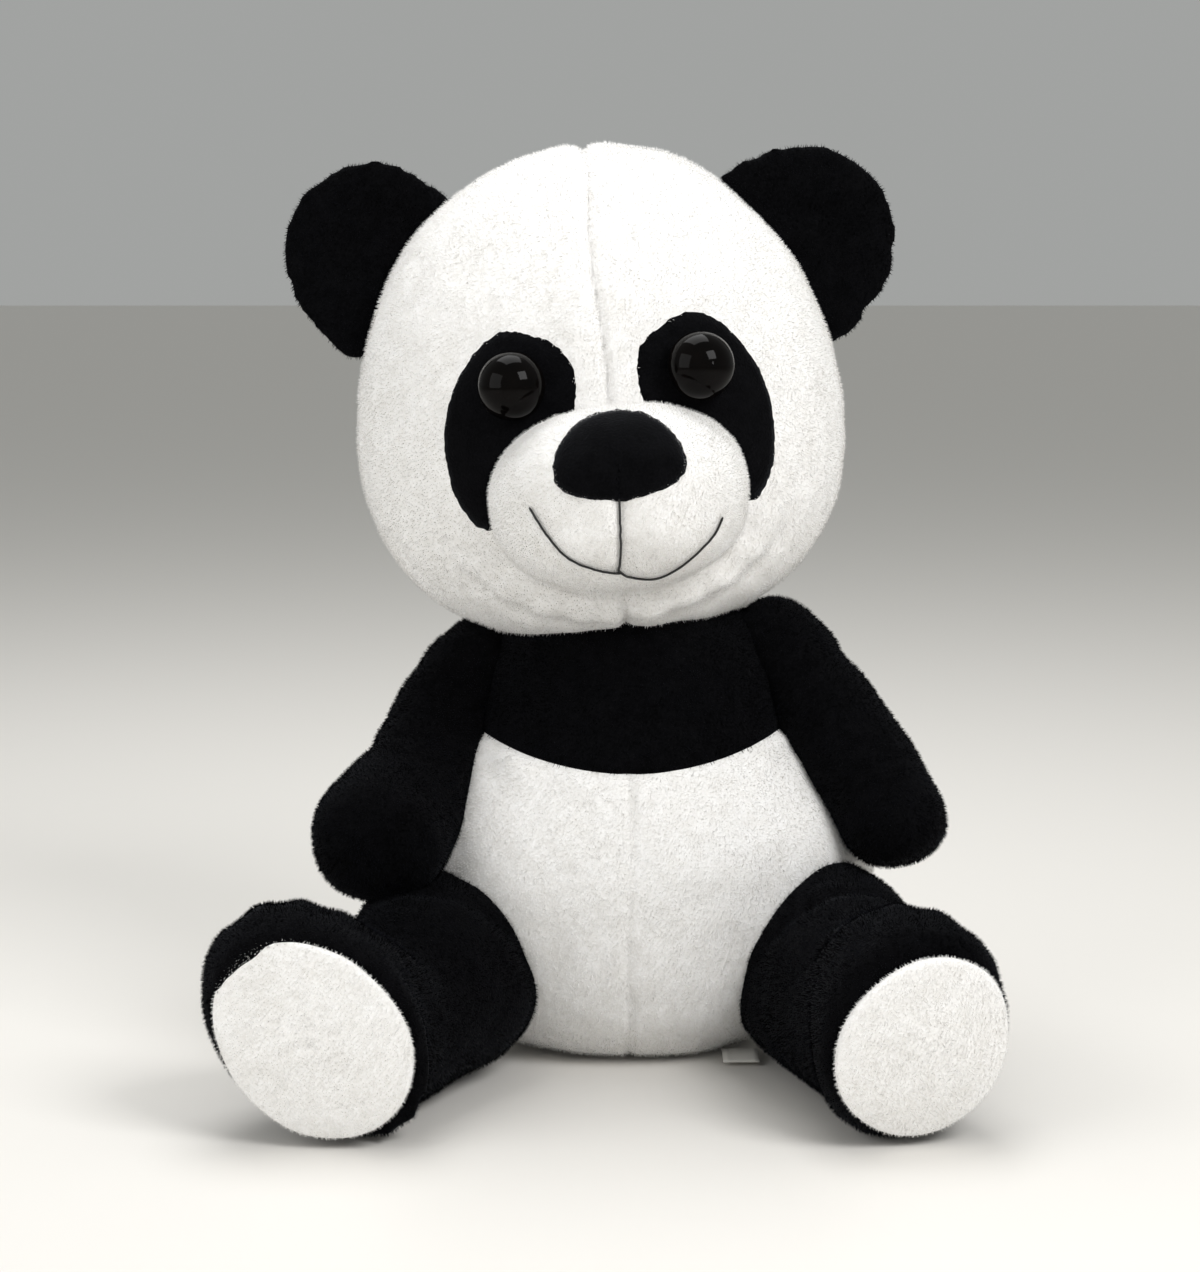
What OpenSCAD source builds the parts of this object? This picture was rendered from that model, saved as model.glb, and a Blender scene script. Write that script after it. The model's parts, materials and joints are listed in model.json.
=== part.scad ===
// Seated plush panda. It sits on the plane Z = 0, faces -Y, and its own left side is +X.
// Each cloth panel is a thin closed solid, and the fibre filling fits inside the panels.

/* [Head] */
// Width of the head across the cheeks
head_w = 149; // [145:1:153]
// Height of the head from chin to crown
head_h = 153; // [149:1:156]
// Depth of the head from brow to back
head_d = 126; // [122:1:130]
// Height of the middle of the head above the seat
head_z = 204; // [203:1:208]
// Sideways lean of the head, towards the toy's own right
head_shift = 9; // [6:1:11]
// Roll of the head towards the toy's own right, in degrees
head_roll = 6; // [3:1:8]
// Turn of the face towards the toy's own left, in degrees
head_turn = 2.5; // [0:0.5:5]

/* [Face] */
// Diameter of each safety eye
eye_d = 20; // [18:0.5:21]
// Distance between the middles of the eyes
eye_spacing = 53; // [52:0.5:58]
// Width of the muzzle
muzzle_w = 77; // [72:1:80]
// Height of the muzzle
muzzle_h = 56; // [52:1:58]
// How far the muzzle stands out from the face
muzzle_reach = 30; // [26:1:33]
// Width of the nose
nose_w = 36; // [32:1:38]
// Height of the nose
nose_h = 25; // [22:1:27]

/* [Ears] */
// Width of each ear along its seam
ear_w = 60; // [54:1:62]
// Height of each ear above its seam
ear_h = 35; // [32:1:38]
// Direction of the left ear above the horizontal, in degrees
ear_angle_left = 29.5; // [28:0.5:32]
// Direction of the right ear above the horizontal, in degrees
ear_angle_right = 36; // [34:0.5:37]

/* [Torso] */
// Width of the belly at its fullest
belly_w = 140; // [134:1:142]
// Depth of the belly at its fullest
belly_d = 108; // [102:1:112]
// Width of the torso at the chest seam
chest_w = 100; // [96:1:102]
// Height of the seam between the chest and the belly
band_z = 97; // [92:1:100]
// Height of the torso's cloth at the neck
torso_h = 125; // [120:0.5:125]
// Half widths of the flat seat
seat_r = [44, 35]; // [30:1:48]

/* [Arms] */
// Radius of each shoulder
shoulder_r = 16.5; // [15:0.5:17]
// Radius of the left paw
paw_left_r = 15.5; // [14:0.5:16]
// Radius of the right paw, which is bent forward
paw_right_r = 18.5; // [16:0.5:19]

/* [Legs] */
// Radius of each thigh where it meets the torso
thigh_r = 27; // [25:0.5:28]
// Half width of each foot
foot_w = 31; // [29:0.5:32]
// Half height of each foot
foot_h = 33; // [31:0.5:34]
// Distance from the seat's middle to the soles
sole_reach = 117; // [114:1:120]

/* [Fabric] */
// Thickness of the plush cloth with its pile
cloth = 1.4; // [1:0.1:1.6]
// Space between one layer and the next
layer_gap = 0.2; // [0.15:0.05:0.3]

/* [Hidden] */
$fn = 48;

white_plush = "white";
black_plush = "#1c1c20";
black_plastic = "#120c0a";
black_thread = "#0c0c0c";
white_fibre = "#f4f2ee";
pellet_cloth = "#d8d4cc";

// Joint centres, as lists of X, Y and Z
shoulder_left = [57, -3, 113];
shoulder_right = [-58, -3, 112];
hip_left = [58, -30, 30];
hip_right = [-58, -30, 30];
neck_at = [-1, 2, 126];
neck_r = 13;
joint_gap = 0.7;

// Each torso row holds its height, half width, half depth in front and half depth behind
torso_rows = [
    [0, seat_r.x, seat_r.y, seat_r.y],
    [25, 0.96 * belly_w / 2, 0.93 * belly_d / 2, 0.93 * belly_d / 2],
    [50, belly_w / 2, belly_d / 2, belly_d / 2],
    [75, 0.92 * belly_w / 2, 0.94 * belly_d / 2, 0.9 * belly_d / 2],
    [band_z, chest_w / 2, 0.8 * belly_d / 2, 0.76 * belly_d / 2],
    [0.94 * torso_h, 0.84 * chest_w / 2, 36, 35],
    [torso_h, 26, 22, 22]
];
torso_band = 4 / 6;
torso_top = 1;
torso_steps = 12;
torso_facet = 15;
depth_in = cloth + layer_gap;

// A limb holds its curve's three points, its radii across and up, its reference
// direction, and the share of its length after which its tip rounds off
arm_left = [
    [shoulder_left, [74, -20, 98], [82, -28, 73]],
    [[shoulder_r, shoulder_r], [15, 15], [paw_left_r, paw_left_r]],
    [0, 1, 0], 0.75
];
arm_right = [
    [shoulder_right, [-75, -20, 96], [-77, -42, 76]],
    [[shoulder_r, shoulder_r], [15, 15], [paw_right_r, paw_right_r]],
    [0, 1, 0], 0.75
];
leg_left = [
    [hip_left, [76, -74, 27], [81, -sole_reach, 32]],
    [[thigh_r, thigh_r], [thigh_r - 1, thigh_r - 1], [foot_w, foot_h], [foot_w - 2, foot_h - 3]],
    [0, 0, 1], 1
];
leg_right = [
    [hip_right, [-80, -72, 27], [-88, -sole_reach, 32]],
    [[thigh_r, thigh_r], [thigh_r - 1, thigh_r - 1], [foot_w, foot_h], [foot_w - 2, foot_h - 3]],
    [0, 0, 1], 1
];
root_share = 0.25;
root_start = 0.03;
tip_end = 0.985;

function lerp(a, b, t) = a + (b - a) * t;
function clamp(v, low, high) = min(max(v, low), high);
function unit(v) = v / norm(v);

// Smooth curve through equally spaced rows of a table, for t from 0 to 1
function through(rows, t) =
    let (
        last = len(rows) - 1,
        s = clamp(t, 0, 1) * last,
        i = min(floor(s), last - 1),
        f = s - i,
        p0 = rows[max(i - 1, 0)],
        p1 = rows[i],
        p2 = rows[i + 1],
        p3 = rows[min(i + 2, last)]
    )
    0.5 * (2 * p1 + (p2 - p0) * f + (2 * p0 - 5 * p1 + 4 * p2 - p3) * f * f
        + (3 * p1 - p0 - 3 * p2 + p3) * f * f * f);

function curve(p, t) = (1 - t) * (1 - t) * p[0] + 2 * t * (1 - t) * p[1] + t * t * p[2];
function heading(p, t) = unit((1 - t) * (p[1] - p[0]) + t * (p[2] - p[1]));

// ---- Surfaces: t runs along the piece, a turns around it, depth is under its surface

function torso_at(t, a, depth) =
    let (
        row = through(torso_rows, t),
        deep = cos(a) > 0 ? row[2] : row[3]
    )
    [(row[1] - depth) * sin(a), -(deep - depth) * cos(a), max(row[0], depth)];

head_low = -79;
head_top = 88;
function egg(s) = 1 - (0.17 - 0.11 * s) * s;
function head_at(t, a, depth) =
    let (
        rise = lerp(head_low, head_top, t),
        round = cos(rise) * egg(sin(rise))
    )
    [
        (head_w / 2 - depth) * round * sin(a),
        -(head_d / 2 - depth) * round * cos(a),
        (head_h / 2 - depth) * sin(rise)
    ];

// Y of the front of the head above a point of the face, outset by some distance
function face_y(x, z, outset) =
    let (
        s = clamp(z / (head_h / 2 + outset), -0.99, 0.99),
        round = sqrt(1 - s * s) * egg(s),
        across = clamp(x / ((head_w / 2 + outset) * round), -0.98, 0.98)
    )
    -(head_d / 2 + outset) * round * sqrt(1 - across * across);

muzzle_z = -26.5;
muzzle_lift = 0.5;
function muzzle_y(x, z, depth) =
    let (
        rx = muzzle_w / 2 - depth,
        rz = muzzle_h / 2 - depth,
        away = min(1, sqrt(x * x / (rx * rx) + pow(z - muzzle_z, 2) / (rz * rz)))
    )
    face_y(x, z, muzzle_lift) - (muzzle_reach - depth) * sqrt(1 - pow(away, 3));

function limb_at(limb, t, a, depth) =
    let (
        tip = limb[3],
        root_part = min(t / root_share, 1),
        tip_part = tip < 1 ? max((t - tip) / (1 - tip), 0) : 0,
        body = clamp((t - root_share) / (tip - root_share), 0, 1),
        axis = heading(limb[0], body),
        side = unit(cross(limb[2], axis)),
        up = cross(axis, side),
        r = through(limb[1], body),
        along = root_part < 1 ? -cos(90 * root_part) : sin(90 * tip_part),
        around = root_part < 1 ? sin(90 * root_part) : cos(90 * tip_part),
        reach = side * (r[0] * around * cos(a)) + up * (r[1] * around * sin(a)) + axis * (r[0] * along),
        p = curve(limb[0], body) + reach * (1 - depth / norm(reach))
    )
    [p.x, p.y, max(p.z, depth)];

// ---- Solids made from those surfaces

function grid_faces(rows, cols, step, first, flip) = [
    for (i = [0:rows - 1]) for (j = [0:cols - 1])
        let (
            p = first + i * step + j,
            q = first + i * step + (j + 1) % step,
            over = step
        )
        each flip
            ? [[p, q + over, p + over], [p, q, q + over]]
            : [[p, p + over, q + over], [p, q + over, q]]
];

function strip(outer, inner) = [
    for (k = [0:len(outer) - 2])
        each [
            [outer[k], outer[k + 1], inner[k + 1]],
            [outer[k], inner[k + 1], inner[k]]
        ]
];

// A cloth panel: a patch of a surface with the cloth's thickness
module cloth_panel(at, along, turn, rows = 12, cols = 8, under = 0) {
    step = cols + 1;
    count = (rows + 1) * step;
    points = [
        for (depth = [under, under + cloth]) for (i = [0:rows]) for (j = [0:cols])
            at(lerp(along[0], along[1], i / rows), lerp(turn[0], turn[1], j / cols), depth)
    ];
    low = [for (j = [0:cols]) j];
    high = [for (j = [cols:-1:0]) rows * step + j];
    start = [for (i = [rows:-1:0]) i * step];
    end = [for (i = [0:rows]) i * step + cols];
    faces = concat(
        grid_faces(rows, cols, step, 0, false),
        grid_faces(rows, cols, step, count, true),
        [for (edge = [low, high, start, end]) each strip(edge, [for (k = edge) k + count])]
    );
    polyhedron(points, faces);
}

// A filling: everything inside a surface, closed at both ends
module filling(at, along, depth, rows = 12, cols = 20) {
    rings = [
        for (i = [0:rows]) for (j = [0:cols - 1])
            at(lerp(along[0], along[1], i / rows), 360 * j / cols, depth)
    ];
    first = rows * cols;
    ends = [
        (rings[0] + rings[cols / 2]) / 2,
        (rings[first] + rings[first + cols / 2]) / 2
    ];
    count = len(rings);
    faces = concat(
        grid_faces(rows, cols, cols, 0, false),
        [for (j = [0:cols - 1]) [j, (j + 1) % cols, count]],
        [for (j = [0:cols - 1]) [first + (j + 1) % cols, first + j, count + 1]]
    );
    polyhedron(concat(rings, ends), faces);
}

// A pad: a round or shaped patch between a front and a back surface, both at(share, a)
module pad(front, back, rows = 5, cols = 20) {
    count = rows * cols;
    points = concat(
        [for (layer = [front, back]) for (i = [1:rows]) for (j = [0:cols - 1])
            layer(i / rows, 360 * j / cols)],
        [front(0, 0), back(0, 0)]
    );
    outer = [for (j = [cols:-1:0]) (rows - 1) * cols + j % cols];
    faces = concat(
        grid_faces(rows - 1, cols, cols, 0, false),
        grid_faces(rows - 1, cols, cols, count, true),
        [for (j = [0:cols - 1]) [j, (j + 1) % cols, 2 * count]],
        [for (j = [0:cols - 1]) [count + (j + 1) % cols, count + j, 2 * count + 1]],
        strip(outer, [for (k = outer) k + count])
    );
    polyhedron(points, faces);
}

// A thread along a list of points on the face
module thread_run(path, r = 0.7, sides = 6) {
    last = len(path) - 1;
    along = function(i) unit(path[min(i + 1, last)] - path[max(i - 1, 0)]);
    at = function(t, a, depth)
        let (
            i = round(t * last),
            axis = along(i),
            side = unit(cross([0, -1, 0], axis)),
            up = cross(axis, side)
        )
        path[i] + (side * cos(a) + up * sin(a)) * (r - depth);
    filling(at, [0, 1], 0, last, sides);
}

// ---- Head

module on_head() {
    translate([-head_shift, 0, head_z])
        rotate([0, -head_roll, head_turn])
            children();
}

head_rows = 14;
head_cols = 32;
eye_z = 7.5;
eye_base = 2.7;
stem_r = 2;
stem_length = 10;
washer_r = 8;
washer_t = 1.6;
washer_depth = 5;

// Places its children at an eye, with +Z pointing out of the face
module at_eye(side) {
    x = side * eye_spacing / 2;
    y = face_y(x, eye_z, 0);
    out = [x / pow(head_w / 2, 2), y / pow(head_d / 2, 2), eye_z / pow(head_h / 2, 2)];
    translate([x, y, eye_z])
        rotate([0, acos(unit(out).z), atan2(out.y, out.x)])
            children();
}

module head_panel(turn) {
    cloth_panel(function(t, a, depth) head_at(t, a, depth), [0, 1], turn, head_rows, head_cols / 4);
}

// The hole that an eye's stem goes through
module stem_hole(side) {
    at_eye(side)
        cylinder(r = stem_r + 0.3, h = 12, center = true);
}

module head_front(side) {
    color(white_plush)
        on_head()
            difference() {
                head_panel(side > 0 ? [0, 90] : [-90, 0]);
                stem_hole(side);
            }
}

module head_back(side) {
    color(white_plush)
        on_head()
            head_panel(side > 0 ? [90, 180] : [180, 270]);
}

module head_stuffing() {
    color(white_fibre)
        difference() {
            on_head()
                difference() {
                    filling(
                        function(t, a, depth) head_at(t, a, depth), [0, 1], depth_in,
                        head_rows, head_cols
                    );
                    for (side = [-1, 1])
                        at_eye(side)
                            translate([0, 0, -stem_length - 1])
                                cylinder(r = washer_r + 0.5, h = stem_length + 2);
                }
            translate(neck_at) sphere(r = neck_r + joint_gap);
        }
}

muzzle_rim = 0.999;
function muzzle_point(share, a, depth) =
    let (
        x = share * muzzle_rim * (muzzle_w / 2 - depth) * sin(a),
        z = muzzle_z + share * muzzle_rim * (muzzle_h / 2 - depth) * cos(a)
    )
    [x, muzzle_y(x, z, depth), z];

module muzzle() {
    color(white_plush)
        on_head()
            pad(
                function(share, a) muzzle_point(share, a, 0),
                function(share, a) muzzle_point(share, a, cloth),
                8, 28
            );
}

module muzzle_stuffing() {
    back = function(share, a)
        let (p = muzzle_point(share, a, depth_in))
        [p.x, face_y(p.x, p.z, muzzle_lift), p.z];
    color(white_fibre)
        on_head()
            pad(function(share, a) muzzle_point(share, a, depth_in), back, 8, 28);
}

nose_z = -12.5;
module nose() {
    at = function(share, a, outset)
        let (
            x = share * nose_w / 2 * sin(a) * (1 - 0.2 * cos(a)),
            z = nose_z + share * nose_h / 2 * cos(a)
        )
        [x, muzzle_y(x, z, -outset), z];
    color(black_plush)
        on_head()
            pad(function(share, a) at(share, a, 2.2), function(share, a) at(share, a, 0.4), 4, 20);
}

smile_w = 52;
smile_low = -45.5;
smile_rise = 17;
module mouth_stitching() {
    on_muzzle = function(x, z) [x, muzzle_y(x, z, 0) - 1, z];
    smile = [
        for (k = [-8:8])
            on_muzzle(k / 8 * smile_w / 2, smile_low + smile_rise * pow(k / 8, 2))
    ];
    drop = [for (k = [0:5]) on_muzzle(0, lerp(nose_z - nose_h / 2 - 1, smile_low + 2, k / 5))];
    color(black_thread)
        on_head() {
            thread_run(smile);
            thread_run(drop);
        }
}

// The muzzle's outline, straight through the face, where the patches are cut away
module muzzle_room() {
    outline = [
        for (a = [0:15:345])
            [(muzzle_w / 2 + 0.8) * sin(a), muzzle_z + (muzzle_h / 2 + 0.8) * cos(a)]
    ];
    rotate([90, 0, 0])
        linear_extrude(head_d)
            polygon(outline);
}

// A teardrop of black plush that slants down and outwards around the eye
patch_w = 36;
patch_up = 15;
patch_down = 34;
patch_slant = 14;
module eye_patch(side) {
    at = function(share, a, outset)
        let (
            low = max(0, -cos(a)),
            u = share * patch_w / 2 * (1 - low / 6) * sin(a),
            v = share * lerp(patch_up, patch_down, low) * cos(a),
            x = side * (eye_spacing / 2 + 1 + u * cos(patch_slant) - v * sin(patch_slant)),
            z = eye_z - 1 + u * sin(patch_slant) + v * cos(patch_slant)
        )
        [x, face_y(x, z, outset), z];
    color(black_plush)
        on_head()
            difference() {
                pad(
                    function(share, a) at(share, side * a, 2 * layer_gap + cloth),
                    function(share, a) at(share, side * a, 2 * layer_gap),
                    5, 24
                );
                stem_hole(side);
                muzzle_room();
            }
}

module eye(side) {
    color(black_plastic)
        on_head()
            at_eye(side) {
                translate([0, 0, eye_base])
                    intersection() {
                        sphere(d = eye_d);
                        cylinder(d = eye_d + 2, h = eye_d);
                    }
                translate([0, 0, -stem_length])
                    cylinder(r = stem_r, h = stem_length + eye_base);
            }
}

module eye_washer(side) {
    color(white_fibre)
        on_head()
            at_eye(side)
                translate([0, 0, -washer_depth])
                    difference() {
                        cylinder(r = washer_r, h = washer_t);
                        translate([0, 0, -1])
                            cylinder(r = stem_r + 0.05, h = washer_t + 2);
                    }
}

// ---- Ears

ear_root = 71.9;
ear_gap = 1.8;
ear_mid = 15;
ear_back_set = 4;
ear_edge = 1.2;
ear_puff = 4.8;

// One half of an ear; face is -1 for the front half and 1 for the back half
module ear_half(side, face) {
    outline = function(share, a)
        let (
            u = ear_w / 2 * sin(a),
            base = ear_gap - u * u / (2 * ear_root),
            v = cos(a) > 0 ? (ear_h - ear_mid) * cos(a) : (ear_mid - base) * cos(a)
        )
        [share * u, ear_mid + share * v];
    side_at = function(share, a, puff)
        let (p = outline(share, a))
        [p.x, face * (0.15 + puff * (ear_edge + ear_puff * (1 - share * share))), p.y];
    angle = side > 0 ? ear_angle_left : ear_angle_right;
    color(black_plush)
        on_head()
            translate([side * ear_root * cos(angle), ear_back_set, ear_root * sin(angle)])
                rotate([0, side * (90 - angle), 0])
                    pad(
                        function(share, a) side_at(share, a, face < 0 ? 1 : 0),
                        function(share, a) side_at(share, a, face < 0 ? 0 : 1),
                        3, 24
                    );
}

// ---- Neck and torso

module neck_stuffing() {
    color(white_fibre)
        translate(neck_at)
            sphere(r = neck_r);
}

// Room in the torso for the round root of a limb or for the neck, with its poles along X
module socket(p, r) {
    translate(p)
        rotate([0, 90, 0])
            sphere(r = r + joint_gap);
}

// Rows and columns line up with the filling's, so that the layers don't cut each other
module torso_cloth(along, turn) {
    cloth_panel(
        function(t, a, depth) torso_at(t, a, depth), along, turn,
        round((along[1] - along[0]) * torso_steps), (turn[1] - turn[0]) / torso_facet
    );
}

module chest_panel() {
    color(black_plush)
        difference() {
            torso_cloth([torso_band, torso_top], [-90, 90]);
            socket(shoulder_left, shoulder_r);
            socket(shoulder_right, shoulder_r);
        }
}

module upper_back(side) {
    color(black_plush)
        difference() {
            torso_cloth([torso_band, torso_top], side > 0 ? [90, 180] : [180, 270]);
            socket(side > 0 ? shoulder_left : shoulder_right, shoulder_r);
        }
}

module belly(side) {
    color(white_plush)
        difference() {
            torso_cloth([0, torso_band], side > 0 ? [0, 90] : [-90, 0]);
            socket(side > 0 ? hip_left : hip_right, thigh_r);
        }
}

module lower_back(side) {
    color(white_plush)
        difference() {
            torso_cloth([0, torso_band], side > 0 ? [90, 180] : [180, 270]);
            socket(side > 0 ? hip_left : hip_right, thigh_r);
        }
}

module seat_panel() {
    outline = [
        for (a = [0:9:351])
            [(seat_r.x - depth_in) * cos(a), (seat_r.y - depth_in) * sin(a)]
    ];
    color(white_plush)
        linear_extrude(cloth)
            polygon(outline);
}

bag_at = [0, 9, depth_in + 0.2];
bag_r = 25;
bag_h = 18;
module torso_stuffing() {
    color(white_fibre)
        difference() {
            filling(
                function(t, a, depth) torso_at(t, a, depth), [0, 1], depth_in,
                torso_steps, 360 / torso_facet
            );
            socket(shoulder_left, shoulder_r);
            socket(shoulder_right, shoulder_r);
            socket(hip_left, thigh_r);
            socket(hip_right, thigh_r);
            socket(neck_at, neck_r);
            translate([bag_at.x, bag_at.y, -1]) cylinder(r = bag_r + 0.3, h = bag_h + 4);
        }
}

module pellet_bag() {
    edge = bag_h / 2;
    round_side = [
        for (a = [-90:15:90])
            [bag_r - edge + edge * cos(a), edge + edge * sin(a)]
    ];
    color(pellet_cloth)
        translate(bag_at)
            rotate_extrude()
                polygon(concat([[0, 0]], round_side, [[0, bag_h]]));
}

// A blank tab sewn into the seat seam beside the left thigh
module care_label() {
    color(white_plush)
        translate([31, -26, 1])
            rotate([0, 0, -100])
                cube([13, 9, 0.4]);
}

// ---- Arms and legs

module arm_panel(arm, turn) {
    color(black_plush)
        cloth_panel(function(t, a, depth) limb_at(arm, t, a, depth), [root_start, tip_end], turn, 12, 8);
}

module arm_stuffing(arm) {
    color(white_fibre)
        filling(function(t, a, depth) limb_at(arm, t, a, depth), [root_start, tip_end], depth_in, 12, 16);
}

module leg_panel(leg, turn) {
    color(black_plush)
        cloth_panel(function(t, a, depth) limb_at(leg, t, a, depth), [root_start, 1], turn, 12, 8);
}

module leg_stuffing(leg) {
    color(white_fibre)
        filling(function(t, a, depth) limb_at(leg, t, a, depth), [root_start, 1], depth_in, 12, 16);
}

module sole(leg) {
    axis = heading(leg[0], 1);
    outline = [for (a = [0:10:350]) [(foot_h - 4) * cos(a), (foot_w - 3) * sin(a)]];
    color(white_plush)
        translate(leg[0][2] + axis * layer_gap)
            rotate([0, acos(axis.z), atan2(axis.y, axis.x)])
                linear_extrude(2)
                    polygon(outline);
}

head_front(1);  // head_front_left
head_front(-1);  // head_front_right
head_back(1);  // head_back_left
head_back(-1);  // head_back_right
head_stuffing();
muzzle();
muzzle_stuffing();
nose();
mouth_stitching();
eye_patch(1);  // eye_patch_left
eye_patch(-1);  // eye_patch_right
eye(1);  // eye_left
eye(-1);  // eye_right
eye_washer(1);  // eye_washer_left
eye_washer(-1);  // eye_washer_right
ear_half(1, -1);  // ear_front_left
ear_half(1, 1);  // ear_back_left
ear_half(-1, -1);  // ear_front_right
ear_half(-1, 1);  // ear_back_right
neck_stuffing();
chest_panel();
upper_back(1);  // upper_back_left
upper_back(-1);  // upper_back_right
belly(1);  // belly_left
belly(-1);  // belly_right
lower_back(1);  // lower_back_left
lower_back(-1);  // lower_back_right
seat_panel();
torso_stuffing();
pellet_bag();
care_label();
arm_panel(arm_left, [90, 270]);  // arm_outer_left
arm_panel(arm_left, [-90, 90]);  // arm_inner_left
arm_stuffing(arm_left);  // arm_stuffing_left
arm_panel(arm_right, [-90, 90]);  // arm_outer_right
arm_panel(arm_right, [90, 270]);  // arm_inner_right
arm_stuffing(arm_right);  // arm_stuffing_right
leg_panel(leg_left, [0, 180]);  // leg_upper_left
leg_panel(leg_left, [180, 360]);  // leg_lower_left
sole(leg_left);  // sole_left
leg_stuffing(leg_left);  // leg_stuffing_left
leg_panel(leg_right, [0, 180]);  // leg_upper_right
leg_panel(leg_right, [180, 360]);  // leg_lower_right
sole(leg_right);  // sole_right
leg_stuffing(leg_right);  // leg_stuffing_right
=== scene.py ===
import json
import math
import bmesh
import bpy
import numpy as np
from mathutils import Euler, Matrix, Vector, noise
from mathutils.bvhtree import BVHTree


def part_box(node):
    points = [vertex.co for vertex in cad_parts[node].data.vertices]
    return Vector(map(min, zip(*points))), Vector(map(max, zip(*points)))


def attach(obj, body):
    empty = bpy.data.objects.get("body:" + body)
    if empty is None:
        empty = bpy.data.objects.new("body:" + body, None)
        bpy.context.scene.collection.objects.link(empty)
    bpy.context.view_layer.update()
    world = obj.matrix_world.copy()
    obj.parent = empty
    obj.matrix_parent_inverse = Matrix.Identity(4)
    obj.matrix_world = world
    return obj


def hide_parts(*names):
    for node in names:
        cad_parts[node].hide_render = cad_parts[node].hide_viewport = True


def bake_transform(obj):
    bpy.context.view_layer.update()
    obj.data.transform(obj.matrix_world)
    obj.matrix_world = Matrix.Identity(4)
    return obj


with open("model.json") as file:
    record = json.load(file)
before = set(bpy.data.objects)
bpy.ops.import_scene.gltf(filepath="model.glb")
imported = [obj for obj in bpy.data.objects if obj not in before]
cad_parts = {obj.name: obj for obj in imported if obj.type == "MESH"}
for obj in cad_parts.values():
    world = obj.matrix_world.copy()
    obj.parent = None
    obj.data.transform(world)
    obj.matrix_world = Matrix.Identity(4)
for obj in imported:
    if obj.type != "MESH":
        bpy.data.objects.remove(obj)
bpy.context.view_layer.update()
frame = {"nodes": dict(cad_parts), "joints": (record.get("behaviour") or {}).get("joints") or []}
mm = 0.001
joints = {j["name"]: j for j in frame["joints"]}
scene = bpy.context.scene


# Colours and nodes

def srgb(code):
    parts = [int(code[i:i + 2], 16) / 255 for i in (1, 3, 5)]
    return [p / 12.92 if p <= 0.04045 else ((p + 0.055) / 1.055) ** 2.4 for p in parts] + [1.0]


def addNode(tree, kind, inputs=None, **settings):
    node = tree.nodes.new(kind)
    for key, value in settings.items():
        setattr(node, key, value)
    for key, value in (inputs or {}).items():
        socket = node.inputs[key]
        if isinstance(value, bpy.types.NodeSocket):
            tree.links.new(value, socket)
        else:
            socket.default_value = value
    return node


def newMaterial(name, **constants):
    material = bpy.data.materials.new(name)
    material.use_nodes = True
    shader = material.node_tree.nodes["Principled BSDF"]
    for key, value in constants.items():
        shader.inputs[key.replace("_", " ")].default_value = value
    return material, material.node_tree, shader


plushLook = {
    "clumpSize": 5.0,     # mm, patches where the nap lies one way; bumped, and painted lighter or darker as painted sheen and painted shade
    "fibreSize": 0.7,     # mm, coarser than a real fibre so that it shows, as bumps and as a speckle of painted light and shade
    "whiteBasePaintedLit": "#fbfaf9",
    "whiteBasePaintedShade": "#efedea",
    "blackBasePaintedLit": "#08080a",
    "blackBasePaintedShade": "#020203",
}


def plushMaterial(name, lit, deep, sheen, sheenTint, bump):
    # Short knitted plush: matt, with a soft sheen at grazing angles; its base colour mixes a painted-lit and
    # a painted-shade colour in mottles where the nap turns, standing in for the sheen and shade of the nap
    material, tree, shader = newMaterial(
        name, Roughness=0.95, Sheen_Weight=sheen, Sheen_Roughness=0.45, Sheen_Tint=sheenTint,
        Specular_IOR_Level=0.06)
    place = addNode(tree, "ShaderNodeTexCoord").outputs["Object"]
    clumps = addNode(tree, "ShaderNodeTexNoise", {
        "Vector": place, "Scale": 1 / (plushLook["clumpSize"] * mm), "Detail": 3.0, "Roughness": 0.6})
    fibres = addNode(tree, "ShaderNodeTexNoise", {
        "Vector": place, "Scale": 1 / (plushLook["fibreSize"] * mm), "Detail": 2.0, "Roughness": 0.5})
    both = addNode(tree, "ShaderNodeMath", {
        0: clumps.outputs["Fac"], 1: fibres.outputs["Fac"]}, operation="ADD")
    # How far each point goes to the painted-lit colour rather than the painted-shade colour
    paintedLightShare = addNode(tree, "ShaderNodeMapRange", {
        "Value": both.outputs[0], "From Min": 0.75, "From Max": 1.25, "To Min": 0.0, "To Max": 1.0})
    colour = addNode(tree, "ShaderNodeMix", {"Factor": paintedLightShare.outputs[0], "A": (0, 0, 0, 1)}, data_type="RGBA")
    colour.inputs[6].default_value = srgb(deep)
    colour.inputs[7].default_value = srgb(lit)
    tree.links.new(colour.outputs[2], shader.inputs["Base Color"])
    bumps = addNode(tree, "ShaderNodeBump", {
        "Height": both.outputs[0], "Strength": bump, "Distance": 0.5 * mm})
    tree.links.new(bumps.outputs[0], shader.inputs["Normal"])
    return material


# The plush base colours: painted light and painted shade, mixed by noise
whitePlush = plushMaterial("whitePlush", plushLook["whiteBasePaintedLit"], plushLook["whiteBasePaintedShade"],
                           0.35, (1, 1, 1, 1), 0.5)
blackPlush = plushMaterial("blackPlush", plushLook["blackBasePaintedLit"], plushLook["blackBasePaintedShade"],
                           0.03, (0.8, 0.86, 1, 1), 0.6)


def fibreMaterial(name, colour, roughness, shine):
    # One polyester fibre of the pile: plain, because its mottling is painted sheen and painted shade, from
    # two fibre colours side by side
    return newMaterial(name, Base_Color=srgb(colour), Roughness=roughness, Specular_IOR_Level=shine)[0]


# Each fibre colour has a lighter copy for painted sheen and a darker copy for painted shade
whitePaintedSheenFibre = fibreMaterial("whiteFibrePaintedSheen", "#fcfbfa", 0.85, 0.2)
whitePaintedShadeFibre = fibreMaterial("whiteFibrePaintedShade", "#f3f1ee", 0.9, 0.2)
blackPaintedSheenFibre = fibreMaterial("blackFibrePaintedSheen", "#101116", 0.75, 0.06)
blackPaintedShadeFibre = fibreMaterial("blackFibrePaintedShade", "#020203", 0.9, 0.03)


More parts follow.
